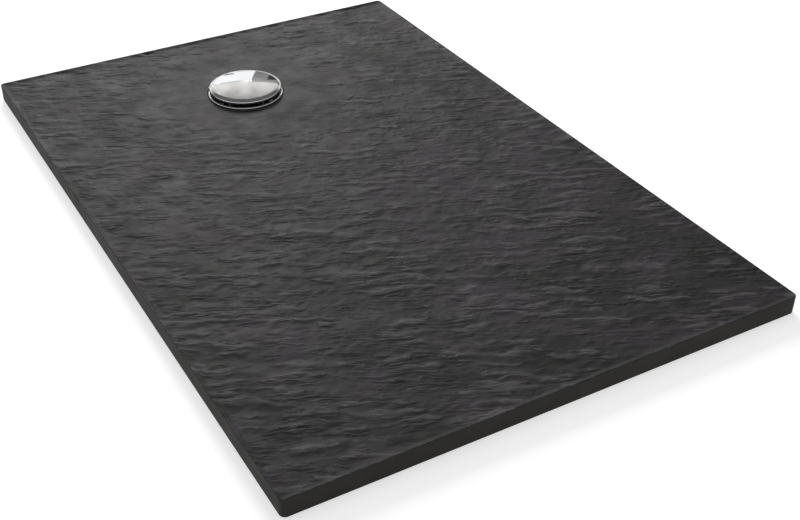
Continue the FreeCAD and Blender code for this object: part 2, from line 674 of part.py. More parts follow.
def outlet_ball_tube():
    """Ball, neck and pipe socket in one moulding; the pipe stops on its inner step."""
    bore_r = BALL_BORE_D / 2
    neck_r = bore_r + BALL_NECK_WALL
    neck_start = sphere_r(BALL_R, neck_r)
    seat_r = PIPE_SOCKET_R + PIPE_SEAT_FLARE
    return turned(
        (bore_r, -BALL_CUT), (sphere_r(BALL_R, BALL_CUT), -BALL_CUT),
        ((BALL_R, 0), (neck_r, neck_start)), (neck_r, PIPE_SHOULDER),
        (PIPE_SOCKET_OUTER_R, PIPE_SHOULDER + PIPE_SHOULDER_LENGTH),
        (PIPE_SOCKET_OUTER_R, PIPE_MOUTH), (seat_r, PIPE_MOUTH), (PIPE_SOCKET_R, PIPE_SEAT),
        (PIPE_SOCKET_R, PIPE_STOP), (bore_r, PIPE_STOP))


def ball_lining(outer_r, start, end):
    """Ring round the ball whose inside follows it with the ball's clearance."""
    round_r = BALL_R + BALL_CLEARANCE
    middle = (start + end) / 2
    return turned(
        (outer_r, start), (outer_r, end), (sphere_r(round_r, end), end),
        ((sphere_r(round_r, middle), middle), (sphere_r(round_r, start), start)))


def ball_seal():
    return ball_lining(BALL_SEAL_D / 2, -SEAT_DEPTH, BALL_SEAL_WIDTH - SEAT_DEPTH)


def ball_slide_ring():
    return ball_lining(BALL_NUT_BORE_R - SEAT_CLEARANCE, SLIDE_RING_START, SLIDE_RING_END)


def grip_ribs(outer_r, start, end):
    """Raised pads round a hand nut."""
    rib = block(outer_r - OVERCUT, outer_r + NUT_RIB_RISE, -NUT_RIB_WIDTH / 2,
                NUT_RIB_WIDTH / 2, start, end)
    return around(rib, NUT_RIB_COUNT)


def ball_nut():
    end = SLIDE_RING_END + BALL_NUT_LIP
    start = end - BALL_NUT_LENGTH
    mouth_r = sphere_r(BALL_R + BALL_CLEARANCE, SLIDE_RING_END)
    body = turned(
        (BALL_NUT_BORE_R, start), (BALL_NUT_R, start), (BALL_NUT_R, end - BALL_NUT_FLARE),
        (BALL_NUT_R - BALL_NUT_FLARE, end), (mouth_r + BALL_NUT_FLARE, end),
        (mouth_r, SLIDE_RING_END), (BALL_NUT_BORE_R, SLIDE_RING_END))
    return fused([body] + grip_ribs(BALL_NUT_R, start, SLIDE_RING_END))


def pipe_seal():
    """Tapered rubber ring, pressed into the socket's flared seat by the slip ring."""
    inner_r = PIPE_SOCKET_R + SEAT_CLEARANCE
    outer_r = PIPE_SOCKET_R + PIPE_SEAT_FLARE - SEAT_CLEARANCE
    start = PIPE_MOUTH - PIPE_SEAL_DEPTH
    start_flare = PIPE_SEAT_FLARE * (1 - PIPE_SEAL_DEPTH / PIPE_SEAT_LENGTH)
    start_r = PIPE_SOCKET_R + start_flare - SEAT_CLEARANCE
    end = PIPE_MOUTH + PIPE_SEAL_PROUD
    return turned((inner_r, start), (start_r, start), (outer_r, PIPE_MOUTH),
                  (outer_r, end), (inner_r, end))


def slip_ring():
    start = PIPE_MOUTH + PIPE_SEAL_PROUD
    return ring(PIPE_SOCKET_R + SEAT_CLEARANCE, PIPE_SOCKET_OUTER_R, start,
                start + SLIP_RING_THICKNESS)


def pipe_nut():
    bore_r = PIPE_SOCKET_OUTER_R + BALL_CLEARANCE
    outer_r = bore_r + PIPE_NUT_WALL
    seat = PIPE_MOUTH + PIPE_SEAL_PROUD + SLIP_RING_THICKNESS
    start = seat - PIPE_NUT_SKIRT
    end = seat + PIPE_NUT_END
    edge = PIPE_NUT_END / 2
    body = turned(
        (bore_r, start), (outer_r, start), (outer_r, end - edge), (outer_r - edge, end),
        (PIPE_SOCKET_R + PIPE_NUT_OPENING, end), (PIPE_SOCKET_R + PIPE_NUT_OPENING, seat),
        (bore_r, seat))
    return fused([body] + grip_ribs(outer_r, start, end - edge))


def main():
    os.makedirs("parts", exist_ok=True)
    save(tray_slab(), "tray_slab")
    for build in (flange_ring, flange_seal, flange_screws, screw_inserts, collar_gasket,
                  trap_body, trap_collar, dip_tube, tube_o_ring, hair_strainer, cover_dome, cover_carrier,
                  cover_stud, carrier_nut):
        save(at_waste(build()), build.__name__)
    for build in (ball_seal, ball_slide_ring, ball_nut, outlet_ball_tube, pipe_seal,
                  slip_ring, pipe_nut):
        save(at_outlet(build()), build.__name__)


main()
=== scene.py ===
import math

import bpy
import numpy as np
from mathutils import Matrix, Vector
from mathutils.geometry import tessellate_polygon


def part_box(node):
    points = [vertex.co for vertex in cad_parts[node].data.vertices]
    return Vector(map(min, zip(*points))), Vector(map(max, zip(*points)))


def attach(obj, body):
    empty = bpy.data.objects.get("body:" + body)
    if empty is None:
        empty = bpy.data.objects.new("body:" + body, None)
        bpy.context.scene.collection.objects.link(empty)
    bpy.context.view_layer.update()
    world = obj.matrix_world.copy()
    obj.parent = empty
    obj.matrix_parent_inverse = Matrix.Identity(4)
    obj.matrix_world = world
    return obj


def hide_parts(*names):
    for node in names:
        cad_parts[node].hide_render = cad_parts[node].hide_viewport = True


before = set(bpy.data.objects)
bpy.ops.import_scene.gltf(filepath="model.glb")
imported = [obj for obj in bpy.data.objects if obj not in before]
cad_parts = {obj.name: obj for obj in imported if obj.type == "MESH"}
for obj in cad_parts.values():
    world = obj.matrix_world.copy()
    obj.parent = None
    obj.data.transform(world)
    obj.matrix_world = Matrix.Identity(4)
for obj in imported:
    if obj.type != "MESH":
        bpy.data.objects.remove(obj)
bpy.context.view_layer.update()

bl_info = {
    "name": "Shower tray dresser",
    "version": (1, 0, 0),
    "blender": (4, 5, 0),
    "location": "3D View > Sidebar > Shower tray",
    "description": "Dresses a stone shower tray, its chrome waste cover and its trap",
    "category": "Object",
}

FULL_TURN = 2 * math.pi
RIGHT_ANGLE = math.pi / 2
TINY = 1e-9


def node_radius(node):
    """Half of a round node's width across X."""
    low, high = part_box(node)
    return (high.x - low.x) / 2


SLAB_LOW, SLAB_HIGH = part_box("tray_slab")
COVER_LOW, COVER_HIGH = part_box("cover_dome")
RECESS_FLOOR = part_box("flange_seal")[0].z
REBATE_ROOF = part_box("collar_gasket")[1].z
STUD_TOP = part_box("cover_stud")[1].z
WASTE = (COVER_LOW + COVER_HIGH) / 2


# ---------------- sizes and colours


def length_property(name, default, description):
    """A length in metres that the user can change."""
    return bpy.props.FloatProperty(
        name=name, default=default, description=description, unit="LENGTH", precision=4)


def angle_property(name, degrees, description):
    """An angle that the user can change."""
    return bpy.props.FloatProperty(
        name=name, default=math.radians(degrees), description=description, subtype="ANGLE")


def color_property(name, default, description):
    """A linear colour that the user can change."""
    return bpy.props.FloatVectorProperty(
        name=name, default=default, description=description, subtype="COLOR", size=3,
        min=0.0, max=1.0)


class SlabSizes(bpy.types.PropertyGroup):
    """Shape of the cast slab and of the relief moulded in its top."""

    corner_radius: length_property("Corner radius", 0.008, "Radius of the upright corners")
    top_arris: length_property("Top arris", 0.001, "Rounding of the top edge")
    bottom_arris: length_property("Bottom arris", 0.0015, "Bevel of the bottom edge")
    level_border: length_property("Level border", 0.005, "Level strip round the edge")
    recess_depth: length_property("Recess depth", 0.003, "From the level strip to the seal's seat")
    level_pad: length_property("Level pad", 0.007, "Level strip round the waste's recess")
    recess_gap: length_property("Recess gap", 0.001, "Gap between flange and recess")
    recess_arris: length_property("Recess arris", 0.0008, "Bevel of the recess's edge")
    hole_radius: length_property("Hole radius", 0.045, "Radius of the waste hole")
    rebate_radius: length_property("Rebate radius", 0.075, "Radius of the underside's rebate")
    pitch: length_property("Grid pitch", 0.00325, "Size of the top's mesh cells")
    relief_depth: length_property("Relief depth", 0.0038, "Depth of the swells and wrinkles")
    wrinkle: length_property("Wrinkle size", 0.042, "Distance between the larger wrinkles")
    warp: length_property("Wrinkle warp", 0.016, "How far the wrinkles wander")
    step_pitch: length_property("Step pitch", 0.025, "Distance between the torn steps")
    step_height: length_property("Step height", 0.0011, "Height of the torn steps")
    edge_fade: length_property("Edge fade", 0.007, "Width in which the relief dies at the edge")
    calm_inner: length_property("Calm radius", 0.080, "Hardly any relief this near to the waste")
    calm_outer: length_property("Full radius", 0.210, "Full relief beyond this radius")
    lay: angle_property("Lay", 24.0, "Turn of the clefts' long direction from the width")
    stretch: bpy.props.FloatProperty(
        name="Stretch", default=1.7, min=1.0, description="Length of the clefts to their width")
    seed: bpy.props.FloatProperty(
        name="Seed", default=4.0, description="Place of the pattern in the noise field")


class CoverSizes(bpy.types.PropertyGroup):
    """Section of the domed cover."""

    sheet: length_property("Sheet", 0.0014, "Thickness of the domed sheet")
    skirt: length_property("Skirt", 0.003, "Height of the skirt, its lip included")
    skirt_lean: angle_property("Skirt lean", 20.0, "Lean of the skirt out towards its foot")
    lip: length_property("Lip", 0.001, "Height of the plain lip at the skirt's foot")
    lip_taper: length_property("Lip taper", 0.0003, "How far the lip draws in")
    edge_radius: length_property("Edge radius", 0.001, "Rounding above the skirt")
    band: length_property("Band", 0.009, "Width of the steeper outer band")
    band_bulge: length_property("Band bulge", 0.00055, "Crown of the band")
    cap_rise: length_property("Cap rise", 0.003, "Rise of the middle cap")
    boss_radius: length_property("Boss radius", 0.006, "Radius of the stud's boss")
    boss_drop: length_property("Boss drop", 0.0065, "How far the boss stands below the sheet")
    segments: bpy.props.IntProperty(
        name="Segments", default=256, min=16, description="Facets round the cover")


class Finishes(bpy.types.PropertyGroup):
    """Colours of the materials."""

    gel_dark: color_property("Gel coat, dark", (0.0275, 0.0276, 0.0264), "Darker cloud of the coat")
    gel_light: color_property("Gel coat, light", (0.0470, 0.0415, 0.0462), "Lighter cloud of it")
    # Painted highlight: this light colour is laid along the relief's crests and stands in for light
    # catching them.
    gel_painted_highlight: color_property("Gel coat, crests", (0.100, 0.095, 0.099), "Rubbed crests")
    gel_edge: color_property("Gel coat, edges", (0.056, 0.054, 0.050), "The smooth sides")
    cast: color_property("Cast stone", (0.23, 0.22, 0.20), "Bare casting under the slab")
    chrome: color_property("Chrome", (0.80, 0.81, 0.82), "Polished plate")
    steel: color_property("Steel", (0.52, 0.52, 0.51), "Screws and stud")
    brass: color_property("Brass", (0.62, 0.44, 0.17), "Inserts and nut")
    rubber: color_property("Rubber", (0.018, 0.018, 0.019), "Seals")
    trap: color_property("Trap plastic", (0.035, 0.036, 0.038), "Trap body and nuts")
    tube: color_property("Insert plastic", (0.52, 0.53, 0.53), "Dip tube and strainer")
    carrier: color_property("Carrier plastic", (0.10, 0.10, 0.105), "Spider under the cover")
    outlet: color_property("Outlet plastic", (0.72, 0.72, 0.70), "Ball tube and rings")


class StageSettings(bpy.types.PropertyGroup):
    """Camera, floor, lamps and the bright and dark panels that the chrome reflects."""

    camera_x: length_property("Camera X", -0.7764, "Camera position")
    camera_y: length_property("Camera Y", -1.5002, "Camera position")
    camera_z: length_property("Camera Z", 1.0378, "Camera position")
    camera_pitch: angle_property("Pitch", 34.833, "How far the camera looks down")
    camera_yaw: angle_property("Yaw", 29.309, "Turn of the view from length towards width")
    lens: bpy.props.FloatProperty(name="Lens", default=54.51, description="Focal length in mm")
    shift_x: bpy.props.FloatProperty(
        name="Shift", default=0.025, description="Sideways shift of the frame")
    floor_size: length_property("Floor size", 14.0, "Side of the square floor")
    pit: length_property("Pit", 0.36, "Side of the square pit for the trap, under the slab")
    floor_color: color_property("Floor", (0.74, 0.74, 0.74), "Plain pale floor")


# ---------------- mesh helpers


def new_object(name, vertices, faces, smooth_angle=None):
    """Mesh object at the origin; smooth_angle keeps edges sharper than it crisp."""
    mesh = bpy.data.meshes.new(name)
    mesh.from_pydata([tuple(v) for v in vertices], [], [tuple(f) for f in faces])
    mesh.validate()
    piece = bpy.data.objects.new(name, mesh)
    bpy.context.scene.collection.objects.link(piece)
    if smooth_angle is not None:
        mesh.shade_smooth()
        mesh.set_sharp_from_angle(angle=smooth_angle)
    mesh.update()
    return piece


def arc_points(start, via, end, count):
    """Points after start along the circle through three (radius, height) points."""
    (ax, ay), (bx, by), (cx, cy) = start, via, end
    d = 2 * (ax * (by - cy) + bx * (cy - ay) + cx * (ay - by))
    a2, b2, c2 = ax * ax + ay * ay, bx * bx + by * by, cx * cx + cy * cy
    ux = (a2 * (by - cy) + b2 * (cy - ay) + c2 * (ay - by)) / d
    uy = (a2 * (cx - bx) + b2 * (ax - cx) + c2 * (bx - ax)) / d
    radius = math.hypot(ax - ux, ay - uy)
    first = math.atan2(ay - uy, ax - ux)
    last = math.atan2(cy - uy, cx - ux)
    middle = math.atan2(by - uy, bx - ux)
    sweep = (last - first) % FULL_TURN
    if (middle - first) % FULL_TURN > sweep:
        sweep -= FULL_TURN
    steps = [first + sweep * (i + 1) / count for i in range(count)]
    return [(ux + radius * math.cos(a), uy + radius * math.sin(a)) for a in steps]


def lathe(name, profile, center, segments, smooth_angle):
    """Closed solid turned about Z from a profile whose first and last points are on the axis."""
    inner = profile[1:-1]
    vertices = [(center.x, center.y, profile[0][1])]
    for radius, height in inner:
        for index in range(segments):
            angle = FULL_TURN * index / segments
            vertices.append((center.x + radius * math.cos(angle),
                             center.y + radius * math.sin(angle), height))
    vertices.append((center.x, center.y, profile[-1][1]))
    faces = []
    last = len(vertices) - 1
    for index in range(segments):
        following = (index + 1) % segments
        faces.append((0, 1 + index, 1 + following))
        for row in range(len(inner) - 1):
            low = 1 + row * segments
            high = low + segments
            faces.append((low + index, high + index, high + following, low + following))
        end = 1 + (len(inner) - 1) * segments
        faces.append((end + index, last, end + following))
    return new_object(name, vertices, faces, smooth_angle)


# ---------------- node helpers


class Tree:
    """Short way to add and link nodes of a shader or geometry tree."""

    def __init__(self, tree):
        self.tree = tree

    def node(self, kind, settings=None, **inputs):
        """Add a node; an input's name has _ for each space."""
        made = self.tree.nodes.new(kind)
        for key, value in (settings or {}).items():
            setattr(made, key, value)
        for key, value in inputs.items():
            self.feed(made.inputs[key.replace("_", " ")], value)
        return made

    def feed(self, socket, value):
        """Link a socket into an input, or set the input's own value."""
        if isinstance(value, bpy.types.NodeSocket):
            self.tree.links.new(value, socket)
        else:
            socket.default_value = value

    def math(self, operation, first, second=0.0, third=0.0):
        """Result of a Math node."""
        made = self.tree.nodes.new("ShaderNodeMath")
        made.operation = operation
        for socket, value in zip(made.inputs, (first, second, third)):
            self.feed(socket, value)
        return made.outputs[0]

    def vector(self, operation, first, second=(0.0, 0.0, 0.0), scale=1.0):
        """Vector from a Vector Math node."""
        made = self.tree.nodes.new("ShaderNodeVectorMath")
        made.operation = operation
        self.feed(made.inputs[0], first)
        self.feed(made.inputs[1], second)
        self.feed(made.inputs[3], scale)
        return made.outputs[0]

    def noise(self, position, size, detail=2.0, roughness=0.5):
        """Noise node whose features are about size metres apart."""
        return self.node("ShaderNodeTexNoise", Vector=position, Scale=1.0 / size,
                         Detail=detail, Roughness=roughness)

    def remap(self, value, low, high, new_low=0.0, new_high=1.0, smooth=False):
        """Value moved from one range to another, and kept inside it."""
        kind = "SMOOTHSTEP" if smooth else "LINEAR"
        made = self.node("ShaderNodeMapRange", {"interpolation_type": kind}, Value=value,
                         From_Min=low, From_Max=high, To_Min=new_low, To_Max=new_high)
        return made.outputs[0]

    def place(self, group, **inputs):
        """Add a node group and feed its named inputs."""
        made = self.tree.nodes.new("ShaderNodeGroup")
        made.node_tree = group
        for key, value in inputs.items():
            self.feed(made.inputs[key], value)
        return made

    def mix(self, factor, first, second):
        """Colour between two colours."""
        made = self.tree.nodes.new("ShaderNodeMix")
        made.data_type = "RGBA"
        self.feed(made.inputs[0], factor)
        self.feed(made.inputs[6], first)
        self.feed(made.inputs[7], second)
        return made.outputs[2]


def new_group(name, kind, inputs, outputs):
    """Node group, its tree helper, the sockets that it is given and those of its result.

    Each socket has its type, or else a number as its default.
    """
    group = bpy.data.node_groups.new(name, kind)
    for direction, sockets in (("INPUT", inputs), ("OUTPUT", outputs)):
        for label, value in sockets.items():
            word = value if isinstance(value, str) else "Float"
            socket = group.interface.new_socket(
                name=label, in_out=direction, socket_type="NodeSocket" + word)
            if word != value:
                socket.default_value = value
    given = group.nodes.new("NodeGroupInput").outputs
    result = group.nodes.new("NodeGroupOutput").inputs
    return group, Tree(group), given, result


# ---------------- slab


ARRIS_STEPS = 4  # facets of the rounded top edge
SQUARE_SHARE = 0.86  # half side of the square left out for the hole, to the hole's radius
RING_REACH = 2.4  # where the rings round the hole end, in half sides of that square
CALM_SHARE = 0.04  # relief that stays round the waste
SLAB_CREASE = math.radians(38)


def rounded_loop(xs, ys, radius):
    """A grid's border with rounded corners: its cells, core points and outward directions.

    The outline at inset i is core + direction * (radius - i).
    """
    low = Vector((xs[0], ys[0]))
    high = Vector((xs[-1], ys[-1]))
    border = [(i, 0) for i in range(len(xs) - 1)]
    border += [(len(xs) - 1, j) for j in range(len(ys) - 1)]
    border += [(i, len(ys) - 1) for i in range(len(xs) - 1, 0, -1)]
    border += [(0, j) for j in range(len(ys) - 1, 0, -1)]
    cores, directions = [], []
    for i, j in border:
        x, y = xs[i], ys[j]
        core = Vector((min(max(x, low.x + radius), high.x - radius),
                       min(max(y, low.y + radius), high.y - radius)))
        away = Vector((x, y)) - core
        if abs(away.x) > TINY and abs(away.y) > TINY:
            u, v = away.x / radius, away.y / radius
            away = Vector((u * math.sqrt(1 - v * v / 2), v * math.sqrt(1 - u * u / 2)))
        cores.append(core)
        directions.append(away.normalized())
    return border, cores, directions


def smoothstep(t):
    """Smooth rise from 0 to 1, for arrays."""
    t = np.clip(t, 0.0, 1.0)
    return t * t * (3 - 2 * t)


def hole_grid(xs, ys, hole_r):
    """Grid points drawn into rings round the waste, and the bounds of the cells left out."""
    grid_x, grid_y = np.meshgrid(xs, ys, indexing="ij")
    square = hole_r * SQUARE_SHARE
    left, right = np.searchsorted(xs, (WASTE.x - square, WASTE.x + square)) - (0, 1)
    front, back = np.searchsorted(ys, (WASTE.y - square, WASTE.y + square)) - (0, 1)
    center = np.array([(xs[left] + xs[right]) / 2, (ys[front] + ys[back]) / 2])
    half = np.array([(xs[right] - xs[left]) / 2, (ys[back] - ys[front]) / 2])
    u = (grid_x - center[0]) / half[0]
    v = (grid_y - center[1]) / half[1]
    spread = np.maximum(np.maximum(np.abs(u), np.abs(v)), TINY)
    wide = np.abs(u) >= np.abs(v)
    safe_u = np.where(np.abs(u) < TINY, TINY, u)
    safe_v = np.where(np.abs(v) < TINY, TINY, v)
    angle = np.where(wide, v / safe_u * math.pi / 4 + np.where(u < 0, math.pi, 0.0),
                     RIGHT_ANGLE - u / safe_v * math.pi / 4 + np.where(v < 0, math.pi, 0.0))
    ring = hole_r + (spread - 1) * half.mean()
    blend = smoothstep((spread - 1) / (RING_REACH - 1))
    moved_x = WASTE.x + ring * np.cos(angle)
    moved_y = WASTE.y + ring * np.sin(angle)
    near = spread < RING_REACH
    grid_x = np.where(near, moved_x * (1 - blend) + grid_x * blend, grid_x)
    grid_y = np.where(near, moved_y * (1 - blend) + grid_y * blend, grid_y)
    return grid_x, grid_y, (left, right, front, back)


def waste_level(sizes):
    """Height of the level strip round the waste, where the falls end."""
    return RECESS_FLOOR + sizes.recess_depth


def fall_height(x, y, sizes):
    """Height of the falls: four planes from the level border down to the waste's level strip."""
    border = sizes.level_border
    pad = node_radius("flange_ring") + sizes.recess_gap + sizes.level_pad
    slopes = []
    for value, low, high, waste in ((x, SLAB_LOW.x, SLAB_HIGH.x, WASTE.x),
                                    (y, SLAB_LOW.y, SLAB_HIGH.y, WASTE.y)):
        slopes.append((value - low - border) / (waste - pad - low - border))
        slopes.append((high - border - value) / (high - border - waste - pad))
    share = np.clip(np.minimum.reduce(slopes), 0.0, 1.0)
    return SLAB_HIGH.z - (SLAB_HIGH.z - waste_level(sizes)) * share


def relief_mask(x, y, sizes):
    """Strength of the relief: none at the arris and hardly any round the waste."""
    edge = np.minimum(np.minimum(x - SLAB_LOW.x, SLAB_HIGH.x - x),
                      np.minimum(y - SLAB_LOW.y, SLAB_HIGH.y - y)) - sizes.top_arris
    away = np.hypot(x - WASTE.x, y - WASTE.y)
    calm = (away - sizes.calm_inner) / (sizes.calm_outer - sizes.calm_inner)
    calm = CALM_SHARE + (1 - CALM_SHARE) * smoothstep(calm)
    return smoothstep(edge / sizes.edge_fade) * calm


def slab_blank(sizes):
    """Closed slab mesh with its falls, recess, hole and rebate, and a relief mask on its points."""
    count_x = round((SLAB_HIGH.x - SLAB_LOW.x) / sizes.pitch)
    count_y = round((SLAB_HIGH.y - SLAB_LOW.y) / sizes.pitch)
    inset = sizes.top_arris
    xs = np.linspace(SLAB_LOW.x + inset, SLAB_HIGH.x - inset, count_x + 1)
    ys = np.linspace(SLAB_LOW.y + inset, SLAB_HIGH.y - inset, count_y + 1)
    hole_r = node_radius("flange_ring") + sizes.recess_gap + sizes.recess_arris
    grid_x, grid_y, (left, right, front, back) = hole_grid(xs, ys, hole_r)
    reach = sizes.corner_radius - inset
    border, cores, directions = rounded_loop(xs, ys, reach)
    for (i, j), core, direction in zip(border, cores, directions):
        grid_x[i, j], grid_y[i, j] = core + direction * reach
    height = fall_height(grid_x, grid_y, sizes)
    vertices = np.stack([grid_x.ravel(), grid_y.ravel(), height.ravel()], axis=1).tolist()
    strength = relief_mask(grid_x, grid_y, sizes).ravel().tolist()
    rows = len(ys)
    faces = []
    for i in range(count_x):
        for j in range(count_y):
            if left <= i < right and front <= j < back:
                continue
            corner = i * rows + j
            faces.append((corner, corner + rows, corner + rows + 1, corner + 1))

    def add_loop(points):
        """Add a ring of points without relief, and give their numbers."""
        start = len(vertices)
        vertices.extend(points)
        strength.extend([0.0] * len(points))
        return list(range(start, start + len(points)))

    def join_loops(upper, lower):
        """Close the strip between two rings of as many points."""
        for k in range(len(upper)):
            m = (k + 1) % len(upper)
            faces.append((upper[k], lower[k], lower[m], upper[m]))

    outer = [i * rows + j for i, j in border]
    top = SLAB_HIGH.z
    rims = []
    for step in range(1, ARRIS_STEPS + 1):
        angle = RIGHT_ANGLE * step / ARRIS_STEPS
        rims.append((inset * (1 - math.sin(angle)), top - inset * (1 - math.cos(angle))))
    rims += [(0.0, sizes.bottom_arris), (sizes.bottom_arris, SLAB_LOW.z)]
    for rim_inset, z in rims:
        ring = add_loop([(*(core + direction * (sizes.corner_radius - rim_inset)), z)
                         for core, direction in zip(cores, directions)])
        join_loops(outer, ring)
        outer = ring

    hole = [(i, front) for i in range(left, right)] + [(right, j) for j in range(front, back)]
    hole += [(i, back) for i in range(right, left, -1)]
    hole += [(left, j) for j in range(back, front, -1)]
    inner = [i * rows + j for i, j in hole]
    angles = [math.atan2(vertices[k][1] - WASTE.y, vertices[k][0] - WASTE.x) for k in inner]
    level = waste_level(sizes)
    recess_r = hole_r - sizes.recess_arris
    section = [(recess_r, level - sizes.recess_arris), (recess_r, RECESS_FLOOR),
               (sizes.hole_radius, RECESS_FLOOR), (sizes.hole_radius, REBATE_ROOF),
               (sizes.rebate_radius, REBATE_ROOF), (sizes.rebate_radius, SLAB_LOW.z)]
    for radius, z in section:
        ring = add_loop([(WASTE.x + radius * math.cos(a), WASTE.y + radius * math.sin(a), z)
                         for a in angles])
        join_loops(ring, inner)
        inner = ring
    outer_points = [Vector(vertices[k]) for k in outer]
    inner_points = [Vector(vertices[k]) for k in inner]
    index = outer + inner
    for triangle in tessellate_polygon([outer_points, inner_points]):
        a, b, c = (Vector(vertices[index[k]]) for k in triangle)
        turn = (b - a).cross(c - a).z
        order = triangle if turn < 0 else triangle[::-1]
        faces.append(tuple(index[k] for k in order))
    piece = new_object("stone_slab", vertices, faces)
    attribute = piece.data.attributes.new("relief", "FLOAT", "POINT")
    attribute.data.foreach_set("value", strength)
    return piece


# ---------------- cleft relief


SWELL_SIZE, FOLD_SIZE, SMALL_SIZE = 2.6, 1.0, 0.45  # shares of the wrinkle size
SWELL_WEIGHT, FOLD_WEIGHT, SMALL_WEIGHT = 0.42, 0.30, 0.28  # shares of the height
FOLD_SHARPNESS, SMALL_SHARPNESS = 5.0, 4.4
WANDER_SIZE = 1.3  # share of the wrinkle size over which the wrinkles wander
TERRACES = 9.0  # levels of the swells
SWELL_SPAN = 0.25, 0.75  # where the noise of the swells lies
RISER = 0.45, 0.95  # part of a level's width over which it rises steeply
TREAD_RISE = 0.35  # part of a level's height that its flat side takes
LONG_SIDE = 0.82  # part of a torn step's pitch that its long side takes


def cleft_tree(values):
    """Geometry nodes that mould the relief into the slab's top along its mask."""
    group, tree, given, result = new_group(
        "cleft_relief", "GeometryNodeTree",
        {"Geometry": "Geometry", **values, "Material": "Material"}, {"Geometry": "Geometry"})
    position = group.nodes.new("GeometryNodeInputPosition").outputs[0]
    laid = along_lay(tree, position, given["Lay"], given["Stretch"])
    height = cleft_height(tree, laid, given["Wrinkle size"], given["Warp"], given["Seed"])
    mask = tree.node("GeometryNodeInputNamedAttribute", {"data_type": "FLOAT"}, Name="relief")
    drop = tree.math("MULTIPLY", tree.math("SUBTRACT", height, 1.0), given["Depth"])
    torn = long_steps(tree, laid, given["Step pitch"], given["Seed"])
    drop = tree.math("MULTIPLY_ADD", tree.math("SUBTRACT", torn, 1.0),
                     given["Step height"], drop)
    drop = tree.math("MULTIPLY", drop, mask.outputs["Attribute"])
    offset = tree.node("ShaderNodeCombineXYZ", Z=drop).outputs[0]
    moved = tree.node("GeometryNodeSetPosition", Geometry=given["Geometry"], Offset=offset)
    real = tree.node("GeometryNodeRealizeInstances", Geometry=moved.outputs[0])
    painted = tree.node("GeometryNodeSetMaterial", Geometry=real.outputs[0],
                        Material=given["Material"])
    tree.feed(result["Geometry"], painted.outputs[0])
    return group


def scaled_noise(tree, position, size, share, **options):
    """Noise at a share of a size that is itself a socket or a number."""
    made = tree.noise(position, 1.0, **options)
    inverse = tree.math("DIVIDE", 1.0 / share, size)
    tree.feed(made.inputs["Scale"], inverse)
    return made


def along_lay(tree, position, lay, stretch):
    """Position in the clefts' own frame: X along their lay and drawn out, Y across it."""
    turned = tree.node("ShaderNodeVectorRotate", {"rotation_type": "Z_AXIS"},
                       Vector=position, Angle=lay).outputs[0]
    squeeze = tree.node("ShaderNodeCombineXYZ", X=tree.math("DIVIDE", 1.0, stretch), Y=1.0,
                        Z=1.0).outputs[0]
    return tree.vector("MULTIPLY", turned, squeeze)


def cleft_height(tree, laid, size, warp, seed):
    """Height of the cleft stone from about 0 to 1: swells, torn steps and wrinkles."""
    shift = tree.node("ShaderNodeCombineXYZ", X=seed, Y=seed).outputs[0]
    start = tree.vector("ADD", laid, shift)
    push = scaled_noise(tree, start, size, WANDER_SIZE, detail=2.5,
                        roughness=0.6).outputs["Color"]
    centered = tree.vector("SUBTRACT", push, (0.5, 0.5, 0.5))
    moved = tree.vector("ADD", start, tree.vector(
        "SCALE", centered, scale=tree.math("MULTIPLY", warp, 2.0)))
    swell = scaled_noise(tree, moved, size, SWELL_SIZE, detail=3.0, roughness=0.55).outputs[0]
    torn = steps(tree, swell, TERRACES)
    fold = scaled_noise(tree, moved, size, FOLD_SIZE, detail=1.5).outputs[0]
    fold = ridge(tree, fold, FOLD_SHARPNESS)
    small = scaled_noise(tree, moved, size, SMALL_SIZE, detail=1.5, roughness=0.6).outputs[0]
    small = ridge(tree, small, SMALL_SHARPNESS)
    height = tree.math("MULTIPLY", torn, SWELL_WEIGHT)
    height = tree.math("MULTIPLY_ADD", fold, FOLD_WEIGHT, height)
    return tree.math("MULTIPLY_ADD", small, SMALL_WEIGHT, height)


def ridge(tree, value, sharpness):
    """Crest where a noise crosses its middle, falling away on both sides."""
    centered = tree.math("ABSOLUTE", tree.math("SUBTRACT", value, 0.5))
    fall = tree.math("SUBTRACT", 1.0, tree.math("MULTIPLY", centered, sharpness))
    return tree.math("MAXIMUM", fall, 0.0)


def steps(tree, value, count):
    """Value cut into terraces with short slopes between them, as split stone has."""
    raised = tree.math("MULTIPLY", tree.remap(value, *SWELL_SPAN), count)
    level = tree.math("FLOOR", raised)
    part = tree.math("FRACT", raised)
    slope = tree.remap(part, *RISER, smooth=True)
    riser = tree.math("MULTIPLY", slope, 1 - TREAD_RISE)
    within = tree.math("MULTIPLY_ADD", part, TREAD_RISE, riser)
    return tree.math("DIVIDE", tree.math("ADD", level, within), count)


def split_steps(tree, laid, bend, pitch, spread):
    """Small terraces of split stone: long on the near side, steep on the far side."""
    across = tree.node("ShaderNodeSeparateXYZ", Vector=laid).outputs["Y"]
    count = tree.math("DIVIDE", across, pitch)
    phase = tree.math("FRACT", tree.math("MULTIPLY_ADD", bend, spread, count))
    rise = tree.math("DIVIDE", phase, LONG_SIDE)
    fall = tree.math("DIVIDE", tree.math("SUBTRACT", 1.0, phase), 1 - LONG_SIDE)
    return tree.math("MINIMUM", rise, fall)


def torn_field(tree, laid, pitch, seed, shares, spread, limits):
    """Torn steps that bend by spread pitches and come in patches.

    The sizes of bends and patches are shares of the pitch. Limits is the range of the patches'
    noise and what it becomes.
    """
    shift = tree.node("ShaderNodeCombineXYZ", X=seed, Z=seed).outputs[0]
    start = tree.vector("ADD", laid, shift)
    bend = scaled_noise(tree, start, pitch, shares[0], detail=2.5).outputs[0]
    step = split_steps(tree, laid, bend, pitch, spread)
    patch = scaled_noise(tree, start, pitch, shares[1], detail=3.0, roughness=0.65).outputs[0]
    return tree.math("MULTIPLY", step, tree.remap(patch, *limits, smooth=True))


